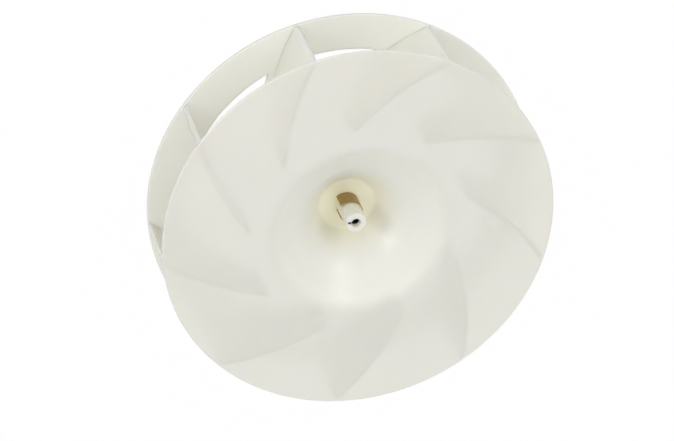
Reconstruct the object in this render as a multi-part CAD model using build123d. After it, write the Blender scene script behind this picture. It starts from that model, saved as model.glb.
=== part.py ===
from build123d import *

import os
from math import cos, hypot, radians, sin, tan

# Centrifugal fan wheel of a refrigerator, in millimetres: a moulded hub plate with its blades, a shroud ring
# round the air inlet, and a spring clip on the boss. The origin is on the wheel's axis, in the plane that the
# wheel rests on when it lies on its shroud ring. +Z runs along the axis, from the air inlet to the hub plate.

# Wheel
wheel_radius = 70.0
wheel_height = 29.7
rim_bevel = 0.3

# Hub plate and its bell, which sinks towards the inlet: its side is steep at the floor, flattens in a long gentle
# bend and runs out into the plate at the shoulder
wall = 1.2
recess_depth = 20.4
recess_floor_radius = 10.3
recess_corner_radius = 1.6
bell_lower_slope = 54.0
bell_upper_slope = 35.0
bell_bend_height = 9.9
bell_bend_radius = 20.0
bell_shoulder_radius = 11.0

# Boss that takes the motor shaft
boss_radius = 3.85
boss_height = 14.4
boss_draft = 1.0
boss_bevel = 0.4

# Bore: round at the mouth, then a short relief, then a stretch with a flat that keys the shaft
shaft_radius = 1.6
shaft_round_length = 6.5
shaft_relief_length = 0.9
shaft_relief_depth = 0.2
shaft_flat_length = 5.6
shaft_flat_distance = 1.25
shaft_flat_azimuth = 61.0
bore_lead_in = 0.25

# Slot down one side of the bore, which lets the clip close the boss on the shaft
slot_width = 0.8
slot_reach = 3.0
slot_azimuth = 152.0

# Blades, which lean backwards: their outer ends trail clockwise, seen from the hub plate
blade_count = 9
blade_thickness = 1.3
blade_inner_radius = 39.5
blade_inner_azimuth = 111.0
blade_sweep = 29.9
blade_curve_radius = 92.0
blade_rim_setback = 0.6
blade_leading_height = 14.0
blade_leading_rounding = 5.0
blade_root_bevel = 0.4

# Shroud ring, with a short seat under the inner foot of each blade
ring_thickness = 1.2
ring_width = 13.2
seat_width = 5.8
seat_reach = 4.0
seat_margin = 0.8
seat_corner_bevel = 0.8

# Spring clip round the foot of the boss
clip_height = 6.4
clip_thickness = 0.4
clip_clearance = 0.02
clip_grip_start = 187.0
clip_grip_end = 375.0
clip_lift_end = 478.0
clip_lift = 0.7

plate_top = wheel_height
plate_bottom = plate_top - wall
recess_floor = plate_top - recess_depth
boss_top = recess_floor + boss_height
ring_top = ring_thickness
eye_radius = wheel_radius - ring_width
seat_inner_radius = eye_radius - seat_reach
blade_foot_radius = seat_inner_radius + seat_margin


def polar(radius, azimuth, height=0.0):
    """A point at this distance from the axis, azimuth in degrees from +X."""
    return (radius * cos(radians(azimuth)), radius * sin(radians(azimuth)), height)


def corner(sketch, radius, height):
    """The sketch's corner nearest to this distance from the axis and this height."""
    place = Vector(radius, 0, height)
    return min(sketch.vertices(), key=lambda v: (Vector(v.X, v.Y, v.Z) - place).length)


def section(points):
    """A face in the half-plane through the axis, from (radius, height) corners."""
    return make_face(Polyline(*[(r, 0, z) for r, z in points], close=True).edges())


def rounded(face, corners):
    """The face with each (radius, height, rounding) corner rounded."""
    for r, z, rounding in corners:
        face = fillet(corner(face, r, z), rounding)
    return face


def bevelled(face, corners):
    """The face with each (radius, height, bevel) corner cut off."""
    for r, z, bevel in corners:
        face = chamfer(corner(face, r, z), bevel)
    return face


def round_blades(piece):
    """The piece, and its copies turned about the axis, one for each blade."""
    return [Rot(0, 0, 360.0 / blade_count * index) * piece for index in range(blade_count)]


def underside(upper, slope_before, slope_after):
    """The corner of the wall's lower face that lies under this corner of its upper face."""
    radius, height = upper
    middle = radians(slope_before + slope_after) / 2
    reach = wall / cos(radians(slope_before - slope_after) / 2)
    return radius + reach * sin(middle), height - reach * cos(middle)


def hub_disc():
    """Plate, bell, recess floor and boss: one wall of even thickness turned about the axis."""
    rise = recess_depth - bell_bend_height
    bend_radius = recess_floor_radius + bell_bend_height / tan(radians(bell_lower_slope))
    foot = (recess_floor_radius, recess_floor)
    bend = (bend_radius, recess_floor + bell_bend_height)
    shoulder = (bend_radius + rise / tan(radians(bell_upper_slope)), plate_top)
    foot_below = underside(foot, 0, bell_lower_slope)
    bend_below = underside(bend, bell_lower_slope, bell_upper_slope)
    shoulder_below = underside(shoulder, bell_upper_slope, 0)
    clip_top = recess_floor + clip_height
    tip_radius = boss_radius - (boss_height - clip_height) * tan(radians(boss_draft))
    face = section([
        (0, recess_floor - wall),
        foot_below,
        bend_below,
        shoulder_below,
        (wheel_radius, plate_bottom),
        (wheel_radius, plate_top),
        shoulder,
        bend,
        foot,
        (boss_radius, recess_floor),
        (boss_radius, clip_top),
        (tip_radius, boss_top),
        (0, boss_top),
    ])
    face = rounded(face, [
        (*shoulder, bell_shoulder_radius),
        (*shoulder_below, bell_shoulder_radius - wall),
        (*bend, bell_bend_radius),
        (*bend_below, bell_bend_radius - wall),
        (*foot, recess_corner_radius),
        (*foot_below, recess_corner_radius + wall),
    ])
    face = bevelled(face, [
        (wheel_radius, plate_top, rim_bevel),
        (wheel_radius, plate_bottom, rim_bevel),
        (tip_radius, boss_top, boss_bevel),
    ])
    return revolve(face, Axis.Z)


def shaft_bore():
    """The space that is cut out of the boss for the shaft, with its flat, its relief and its slot."""
    round_end = boss_top - shaft_round_length
    relief_end = round_end - shaft_relief_length
    bore_end = relief_end - shaft_flat_length
    mouth_radius = shaft_radius + bore_lead_in
    mouth = Pos(0, 0, boss_top - bore_lead_in / 2) * Cone(shaft_radius, mouth_radius, bore_lead_in)
    pilot = Pos(0, 0, round_end) * extrude(Circle(shaft_radius), shaft_round_length)
    relief = Pos(0, 0, relief_end) * extrude(Circle(shaft_radius + shaft_relief_depth), shaft_relief_length)
    beyond_flat = Pos(shaft_flat_distance + shaft_radius, 0) * Rectangle(2 * shaft_radius, 4 * shaft_radius)
    keyed_plan = Circle(shaft_radius) - Rot(0, 0, shaft_flat_azimuth) * beyond_flat
    keyed = Pos(0, 0, bore_end) * extrude(keyed_plan, shaft_flat_length)
    slot_plan = Rot(0, 0, slot_azimuth) * Pos(slot_reach / 2, 0) * Rectangle(slot_reach, slot_width)
    slot = Pos(0, 0, bore_end) * extrude(slot_plan, boss_top - bore_end)
    return mouth + pilot + relief + keyed + slot


def blade_lines():
    """A blade's middle line seen along the axis, with a straight run past each end, as long as a seat is wide."""
    run_out = seat_width
    start = polar(blade_inner_radius, blade_inner_azimuth)
    end = polar(wheel_radius, blade_inner_azimuth - blade_sweep)
    curve = RadiusArc(start, end, blade_curve_radius)
    before = Line(curve @ 0 - (curve % 0) * run_out, curve @ 0)
    after = Line(curve @ 1, curve @ 1 + (curve % 1) * run_out)
    return [before, curve, after]


def blade_plan(width):
    """A strip of this width along a blade's middle line, seen along the axis."""
    return Sketch() + [trace(line, width) for line in blade_lines()]


def blade_envelope():
    """The ring of space that the blades fill, with their slanted leading edges inside the inlet eye."""
    outer = wheel_radius - blade_rim_setback
    leading_end = plate_bottom - blade_leading_height
    face = section([
        (blade_inner_radius, plate_bottom),
        (blade_inner_radius, leading_end),
        (blade_foot_radius, ring_top),
        (outer, ring_top),
        (outer, plate_bottom),
    ])
    face = rounded(face, [(blade_inner_radius, leading_end, blade_leading_rounding)])
    return revolve(face, Axis.Z)


def blade_roots(body):
    """The edges where the blades' two sides meet the plate: in its lower face, they run outwards."""
    middle = (blade_inner_radius + wheel_radius) / 2
    lower_face = body.edges().filter_by_position(Axis.Z, plate_bottom, plate_bottom)
    reaches = [(edge, sorted(hypot(end.X, end.Y) for end in (edge @ 0, edge @ 1))) for edge in lower_face]
    return [edge for edge, (near, far) in reaches if near < middle < far]


def hub_plate():
    """The moulding: disc, boss and blades in one piece."""
    blade = extrude(blade_plan(blade_thickness), wheel_height) & blade_envelope()
    body = hub_disc()
    for copy in round_blades(blade):
        body += copy
    body = chamfer(blade_roots(body), blade_root_bevel)
    return body - shaft_bore()


def seat_plan():
    """One blade seat seen along the axis: a strip under the blade, from the ring into the inlet eye."""
    reach = Circle(eye_radius + 2 * rim_bevel) - Circle(seat_inner_radius)
    plan = blade_plan(seat_width) & reach
    inner_corners = plan.vertices().sort_by(lambda v: hypot(v.X, v.Y))[:2]
    return chamfer(inner_corners, seat_corner_bevel)


def shroud_ring():
    """Flat ring welded to the blades' free edges, round the inlet eye."""
    face = section([
        (eye_radius, 0),
        (wheel_radius, 0),
        (wheel_radius, ring_top),
        (eye_radius, ring_top),
    ])
    face = bevelled(face, [
        (eye_radius, 0, rim_bevel),
        (wheel_radius, 0, rim_bevel),
        (wheel_radius, ring_top, rim_bevel),
    ])
    ring = revolve(face, Axis.Z)
    for seat in round_blades(extrude(seat_plan(), ring_top)):
        ring += seat
    return ring


def shaft_clip():
    """Open strip spring: it grips the boss round its far side, and its free end stands off."""
    middle_radius = boss_radius + clip_clearance + clip_thickness / 2
    grip_middle = (clip_grip_start + clip_grip_end) / 2
    grip = ThreePointArc(
        polar(middle_radius, clip_grip_start),
        polar(middle_radius, grip_middle),
        polar(middle_radius, clip_grip_end),
    )
    lift = TangentArc(grip @ 1, polar(middle_radius + clip_lift, clip_lift_end), tangent=grip % 1)
    plan = Sketch() + [trace(grip, clip_thickness), trace(lift, clip_thickness)]
    return Pos(0, 0, recess_floor) * extrude(plan, clip_height)


os.makedirs("parts", exist_ok=True)
export_step(hub_plate(), "parts/hub_plate.step")
export_step(shroud_ring(), "parts/shroud_ring.step")
export_step(shaft_clip(), "parts/shaft_clip.step")
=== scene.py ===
from math import cos, radians, sin

import bpy
from mathutils import Matrix, Vector

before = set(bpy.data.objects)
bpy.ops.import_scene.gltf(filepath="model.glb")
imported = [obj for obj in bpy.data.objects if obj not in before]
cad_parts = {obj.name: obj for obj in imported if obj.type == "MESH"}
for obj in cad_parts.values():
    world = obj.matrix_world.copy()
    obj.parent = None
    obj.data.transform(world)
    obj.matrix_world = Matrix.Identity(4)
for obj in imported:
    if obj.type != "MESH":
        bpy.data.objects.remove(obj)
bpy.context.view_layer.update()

# Lengths are in metres, the camera's lens and sensor in millimetres, angles in degrees, and colours linear.

# Camera: it looks down on the hub plate and is rolled far over, so that the shroud ring shows at the upper left
CAMERA_PLACE = Vector((-0.0057, 0.5911, 0.9327))
CAMERA_ELEVATION = 57.163
CAMERA_ROLL = 154.728
CAMERA_LENS = 165.8
CAMERA_SENSOR = 36.0
CAMERA_REACH = 20.0

# Light: the room's strength on the wheel, and each lamp's name, direction from the wheel, size and power
ROOM_STRENGTH = 0.54
LAMP_DISTANCE = 1.2
LAMPS = [
    ("lamp_above", (0.0, 0.35, 1.0), 0.9, 1.0),
    ("lamp_front", (0.0, 1.0, 0.15), 0.6, 1.7),
    ("lamp_back", (0.0, -1.0, 0.85), 0.9, 1.3),
    ("lamp_right", (0.628, 0.392, 0.67), 0.44, 1.9),
    ("lamp_left", (-0.565, 0.635, 0.535), 0.32, 2.1),
]

# Floor, just under the wheel. Its glow is the share of plain white where it is seen; the rest takes the shadow.
FLOOR_HALF_SIZE = 3.0
FLOOR_LEVEL = -0.0001
FLOOR_COLOR = (0.8, 0.8, 0.8, 1.0)
FLOOR_GLOW = 0.99

# Milky plastic. Its colour on the plate's top, then painted light on all of the hub below that, painted shade deep in
# the bell, and painted light on the ring
PLATE_COLOR = (0.86, 0.85, 0.795, 1.0)
BELOW_LIT_COLOR = (0.98, 0.965, 0.85, 1.0)
DEEP_SHADE_COLOR = (0.97, 0.90, 0.69, 1.0)
RING_LIT_COLOR = (0.975, 0.965, 0.86, 1.0)
PLATE_CLEARNESS = 0.15
RING_CLEARNESS = 0.36
PLASTIC_ROUGHNESS = 0.30
PLASTIC_IOR = 1.49
SCATTER_RADIUS = (1.0, 0.95, 0.75)
SCATTER_SCALE = 0.0015
CLOUD_SCALE = 45.0
CLOUD_CONTRAST = 0.02
GRAIN_SCALE = 900.0
GRAIN_DETAIL = 2.0
GRAIN_DEPTH = 0.00002
GRAIN_STRENGTH = 0.35

# Heights and distances from the axis between which the painted light below the plate's top and the painted shade deep
# in the bell come in, each from its start to its full effect
BELOW_LIT_START = 0.0296
BELOW_LIT_FULL = 0.0266
DEEP_SHADE_START = 0.0190
DEEP_SHADE_FULL = 0.0150
DEEP_SHADE_START_RADIUS = 0.017
DEEP_SHADE_FULL_RADIUS = 0.006

# Painted shade deep in the shaft bore and in its slot, dark from a depth on downwards
BORE_SHADE_COLOR = (0.028, 0.024, 0.014, 1.0)
BORE_RADIUS = 0.00172
BORE_END = 0.0101
BORE_SHADE_START = 0.0217
BORE_SHADE_FULL = 0.0211
SLOT_AZIMUTH = 152.0
SLOT_HALF_WIDTH = 0.00042
SLOT_REACH = 0.0031
SLOT_SHADE_START = 0.0236
SLOT_SHADE_FULL = 0.0230

# Bronze of the clip, with rolling lines that run round it
CLIP_COLOR = (0.42, 0.28, 0.11, 1.0)
CLIP_ROUGHNESS = 0.42
LINES_SQUEEZE = (1.0, 1.0, 14.0)
LINES_SCALE = 320.0
LINES_CONTRAST = 0.3
LINES_DEPTH = 0.00002
LINES_STRENGTH = 0.4


def empty_tree(owner):
    """The node tree of a new material or world, with nothing in it."""
    owner.use_nodes = True
    owner.node_tree.nodes.clear()
    return owner.node_tree


def add_object(name, data, place=Matrix.Identity(4)):
    """A new object in the scene, with this data and at this place."""
    added = bpy.data.objects.new(name, data)
    added.matrix_world = place
    bpy.context.scene.collection.objects.link(added)
    return added


def principled_material(name):
    """A material with a Principled shader on its output: the material, its tree and the shader."""
    material = bpy.data.materials.new(name)
    tree = empty_tree(material)
    output = tree.nodes.new("ShaderNodeOutputMaterial")
    shader = tree.nodes.new("ShaderNodeBsdfPrincipled")
    tree.links.new(shader.outputs["BSDF"], output.inputs["Surface"])
    return material, tree, shader


def math_node(tree, operation, first, second=None):
    """A Math node fed by sockets or plain numbers; its output."""
    node = tree.nodes.new("ShaderNodeMath")
    node.operation = operation
    for socket, value in zip(node.inputs, (first, second)):
        if value is None:
            continue
        if isinstance(value, (int, float)):
            socket.default_value = value
        else:
            tree.links.new(value, socket)
    return node.outputs[0]


def product(tree, first, *others):
    """All these values multiplied; its output."""
    for other in others:
        first = math_node(tree, "MULTIPLY", first, other)
    return first


def smooth_step(tree, value, start, full):
    """0 up to start, 1 from full on and a smooth run between, whichever of the two is larger; its output."""
    node = tree.nodes.new("ShaderNodeMapRange")
    node.interpolation_type = "SMOOTHSTEP"
    node.inputs["From Min"].default_value = start
    node.inputs["From Max"].default_value = full
    tree.links.new(value, node.inputs["Value"])
    return node.outputs["Result"]


def noise(tree, position, scale, detail=3.0):
    """A noise texture at this position; its factor output, about 0.5 on average."""
    node = tree.nodes.new("ShaderNodeTexNoise")
    node.inputs["Scale"].default_value = scale
    node.inputs["Detail"].default_value = detail
    tree.links.new(position, node.inputs["Vector"])
    return node.outputs["Fac"]


def mix_color(tree, factor, first, second):
    """A colour that goes from first to second with the factor; its output."""
    node = tree.nodes.new("ShaderNodeMix")
    node.data_type = "RGBA"
    tree.links.new(factor, node.inputs["Factor"])
    for name, value in (("A", first), ("B", second)):
        socket = [s for s in node.inputs if s.name == name and s.type == "RGBA"][0]
        if isinstance(value, tuple):
            socket.default_value = value
        else:
            tree.links.new(value, socket)
    return [s for s in node.outputs if s.type == "RGBA"][0]


def varied_color(tree, color, pattern, contrast):
    """The colour, a little darker where the pattern is low and lighter where it is high; its output."""
    darker = tuple(v * (1.0 - contrast) for v in color[:3]) + (1.0,)
    lighter = tuple(min(1.0, v * (1.0 + contrast)) for v in color[:3]) + (1.0,)
    return mix_color(tree, pattern, darker, lighter)


def bump(tree, shader, height, distance, strength):
    """Fine relief on the shader's normal."""
    node = tree.nodes.new("ShaderNodeBump")
    node.inputs["Distance"].default_value = distance
    node.inputs["Strength"].default_value = strength
    tree.links.new(height, node.inputs["Height"])
    tree.links.new(node.outputs["Normal"], shader.inputs["Normal"])


def object_position(tree):
    """Where the shaded point lies on its object; a vector output."""
    return tree.nodes.new("ShaderNodeTexCoord").outputs["Object"]


def position_parts(tree, position):
    """The position's x, y and z, and its distance from the wheel's axis."""
    split = tree.nodes.new("ShaderNodeSeparateXYZ")
    tree.links.new(position, split.inputs[0])
    x, y, z = split.outputs
    square = math_node(tree, "ADD", product(tree, x, x), product(tree, y, y))
    return x, y, z, math_node(tree, "SQRT", square)


def painted_bore_shade_mask(tree, x, y, z, radius):
    """1 deep in the shaft bore and in its slot, where shade is painted, 0 elsewhere."""
    slot_x, slot_y = cos(radians(SLOT_AZIMUTH)), sin(radians(SLOT_AZIMUTH))
    reach = math_node(tree, "ADD", product(tree, x, slot_x), product(tree, y, slot_y))
    across = math_node(tree, "SUBTRACT", product(tree, y, slot_x), product(tree, x, slot_y))
    in_bore = math_node(tree, "LESS_THAN", radius, BORE_RADIUS)
    in_slot = product(
        tree,
        math_node(tree, "LESS_THAN", math_node(tree, "ABSOLUTE", across), SLOT_HALF_WIDTH),
        math_node(tree, "LESS_THAN", reach, SLOT_REACH),
        math_node(tree, "GREATER_THAN", reach, BORE_RADIUS),
    )
    # Painted shade: the bore's and the slot's walls turn dark below a depth, standing in for the shade deep inside
    # them
    bore_deep_shade = product(tree, in_bore, smooth_step(tree, z, BORE_SHADE_START, BORE_SHADE_FULL))
    slot_deep_shade = product(tree, in_slot, smooth_step(tree, z, SLOT_SHADE_START, SLOT_SHADE_FULL))
    above_end = math_node(tree, "GREATER_THAN", z, BORE_END)
    return product(tree, math_node(tree, "MAXIMUM", bore_deep_shade, slot_deep_shade), above_end)


def hub_painted_light_and_shade(tree, position, plate_color):
    """The hub's colour: paler with painted light below the plate's top, yellow with painted shade deep in the bell
    and dark with painted shade deep in the bore; and the bore's shade mask.
    """
    x, y, z, radius = position_parts(tree, position)
    # Painted light: all of the hub below the plate's top takes a lighter copy of the plate's colour, lifting the
    # shaded bell, underside and blades
    color = mix_color(tree, smooth_step(tree, z, BELOW_LIT_START, BELOW_LIT_FULL), plate_color, BELOW_LIT_COLOR)
    # Painted shade: darker and yellower deep in the bell near the axis, standing in for the recess's shade and its
    # yellowed bounced light
    inwards = smooth_step(tree, radius, DEEP_SHADE_START_RADIUS, DEEP_SHADE_FULL_RADIUS)
    downwards = smooth_step(tree, z, DEEP_SHADE_START, DEEP_SHADE_FULL)
    color = mix_color(tree, product(tree, inwards, downwards), color, DEEP_SHADE_COLOR)
    bore_shade_amount = painted_bore_shade_mask(tree, x, y, z, radius)
    return mix_color(tree, bore_shade_amount, color, BORE_SHADE_COLOR), bore_shade_amount


def milky_plastic(name, own_or_lit_color, clearness, is_hub):
    """Natural polypropylene: milky, faintly cloudy, a little see-through and satin; the colour given may be a lighter
    painted-light copy, and on the hub painted light and shade are added.
    """
    material, tree, shader = principled_material(name)
    position = object_position(tree)
    color = varied_color(tree, own_or_lit_color, noise(tree, position, CLOUD_SCALE), CLOUD_CONTRAST)
    clear = clearness
    if is_hub:
        color, bore_shade_amount = hub_painted_light_and_shade(tree, position, color)
        # Where shade is painted in the bore, the plastic lets no light through
        clear = product(tree, math_node(tree, "SUBTRACT", 1.0, bore_shade_amount), clearness)
    tree.links.new(color, shader.inputs["Base Color"])
    shader.inputs["Roughness"].default_value = PLASTIC_ROUGHNESS
    shader.inputs["IOR"].default_value = PLASTIC_IOR
    shader.inputs["Subsurface Weight"].default_value = 1.0
    shader.inputs["Subsurface Radius"].default_value = SCATTER_RADIUS
    shader.inputs["Subsurface Scale"].default_value = SCATTER_SCALE
    # Light that has got into the wall leaves it freely, so that the blades show through the plate
    leaving = tree.nodes.new("ShaderNodeNewGeometry").outputs["Backfacing"]
    tree.links.new(math_node(tree, "MAXIMUM", leaving, clear), shader.inputs["Transmission Weight"])
    bump(tree, shader, noise(tree, position, GRAIN_SCALE, GRAIN_DETAIL), GRAIN_DEPTH, GRAIN_STRENGTH)
    return material


def clip_bronze(name):
    """Spring bronze strip, dull brown, with fine rolling lines round it."""
    material, tree, shader = principled_material(name)
    squeeze = tree.nodes.new("ShaderNodeMapping")
    squeeze.inputs["Scale"].default_value = LINES_SQUEEZE
    tree.links.new(object_position(tree), squeeze.inputs["Vector"])
    lines = noise(tree, squeeze.outputs["Vector"], LINES_SCALE)
    tree.links.new(varied_color(tree, CLIP_COLOR, lines, LINES_CONTRAST), shader.inputs["Base Color"])
    shader.inputs["Metallic"].default_value = 1.0
    shader.inputs["Roughness"].default_value = CLIP_ROUGHNESS
    bump(tree, shader, lines, LINES_DEPTH, LINES_STRENGTH)
    return material


def dress(node, material):
    """Put this material on all of the CAD node's slots."""
    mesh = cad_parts[node].data
    if not mesh.materials:
        mesh.materials.append(material)
    for index in range(len(mesh.materials)):
        mesh.materials[index] = material


def add_camera():
    """The photograph's camera."""
    elevation, roll = radians(CAMERA_ELEVATION), radians(CAMERA_ROLL)
    forward = Vector((0.0, -cos(elevation), -sin(elevation)))
    level = forward.cross(Vector((0.0, 0.0, 1.0))).normalized()
    above = level.cross(forward)
    right = cos(roll) * level + sin(roll) * above
    up = cos(roll) * above - sin(roll) * level
    data = bpy.data.cameras.new("camera")
    data.lens = CAMERA_LENS
    data.sensor_width = CAMERA_SENSOR
    data.clip_end = CAMERA_REACH
    turn = Matrix((right, up, -forward)).transposed().to_4x4()
    bpy.context.scene.camera = add_object("camera", data, Matrix.Translation(CAMERA_PLACE) @ turn)


def add_softbox(name, direction, size, power):
    """A round soft lamp that looks at the wheel from this direction."""
    data = bpy.data.lights.new(name, "AREA")
    data.shape = "DISK"
    data.size = size
    data.energy = power
    place = Vector(direction).normalized() * LAMP_DISTANCE
    turn = place.to_track_quat("Z", "Y").to_matrix().to_4x4()
    add_object(name, data, Matrix.Translation(place) @ turn)


def seen_directly(tree):
    """1 for camera, glossy and transmission rays, 0 for the rays that light the object."""
    path = tree.nodes.new("ShaderNodeLightPath")
    seen = math_node(tree, "MAXIMUM", path.outputs["Is Camera Ray"], path.outputs["Is Glossy Ray"])
    return math_node(tree, "MAXIMUM", seen, path.outputs["Is Transmission Ray"])


def add_room():
    """A pale room: white where it is seen, and soft light from all round."""
    world = bpy.data.worlds.new("studio")
    tree = empty_tree(world)
    output = tree.nodes.new("ShaderNodeOutputWorld")
    background = tree.nodes.new("ShaderNodeBackground")
    background.inputs["Color"].default_value = (1.0, 1.0, 1.0, 1.0)
    lift = product(tree, seen_directly(tree), 1.0 - ROOM_STRENGTH)
    tree.links.new(math_node(tree, "ADD", lift, ROOM_STRENGTH), background.inputs["Strength"])
    tree.links.new(background.outputs[0], output.inputs["Surface"])
    bpy.context.scene.world = world


def mix_shader(tree, factor, first, second):
    """A shader that goes from first to second with the factor; its output."""
    node = tree.nodes.new("ShaderNodeMixShader")
    for value, socket in zip((factor, first, second), node.inputs):
        tree.links.new(value, socket)
    return node.outputs[0]


def floor_white():
    """White where it is seen, with the wheel's shadow left faintly on it, and clear from below."""
    material = bpy.data.materials.new("floor_white")
    tree = empty_tree(material)
    output = tree.nodes.new("ShaderNodeOutputMaterial")
    diffuse = tree.nodes.new("ShaderNodeBsdfDiffuse")
    diffuse.inputs["Color"].default_value = FLOOR_COLOR
    white = tree.nodes.new("ShaderNodeEmission")
    white.inputs["Strength"].default_value = 1.0
    clear = tree.nodes.new("ShaderNodeBsdfTransparent")
    from_below = tree.nodes.new("ShaderNodeNewGeometry").outputs["Backfacing"]
    glow = product(tree, seen_directly(tree), FLOOR_GLOW)
    upper_side = mix_shader(tree, glow, diffuse.outputs[0], white.outputs[0])
    surface = mix_shader(tree, from_below, upper_side, clear.outputs[0])
    tree.links.new(surface, output.inputs["Surface"])
    return material


def add_floor():
    """A wide square floor that faces up."""
    half, level = FLOOR_HALF_SIZE, FLOOR_LEVEL
    corners = [(-half, -half, level), (half, -half, level), (half, half, level), (-half, half, level)]
    mesh = bpy.data.meshes.new("floor")
    mesh.from_pydata(corners, [], [(0, 1, 2, 3)])
    mesh.materials.append(floor_white())
    add_object("floor", mesh)


bpy.context.scene.view_settings.view_transform = "Standard"
add_camera()
add_room()
add_floor()
for lamp in LAMPS:
    add_softbox(*lamp)

dress("hub_plate", milky_plastic("milky_plastic_hub", PLATE_COLOR, PLATE_CLEARNESS, is_hub=True))
# Painted light: the ring takes a lighter copy of the plastic's colour, standing in for light through the plate onto
# the band
dress("shroud_ring", milky_plastic("milky_plastic_ring", RING_LIT_COLOR, RING_CLEARNESS, is_hub=False))
dress("shaft_clip", clip_bronze("clip_bronze"))
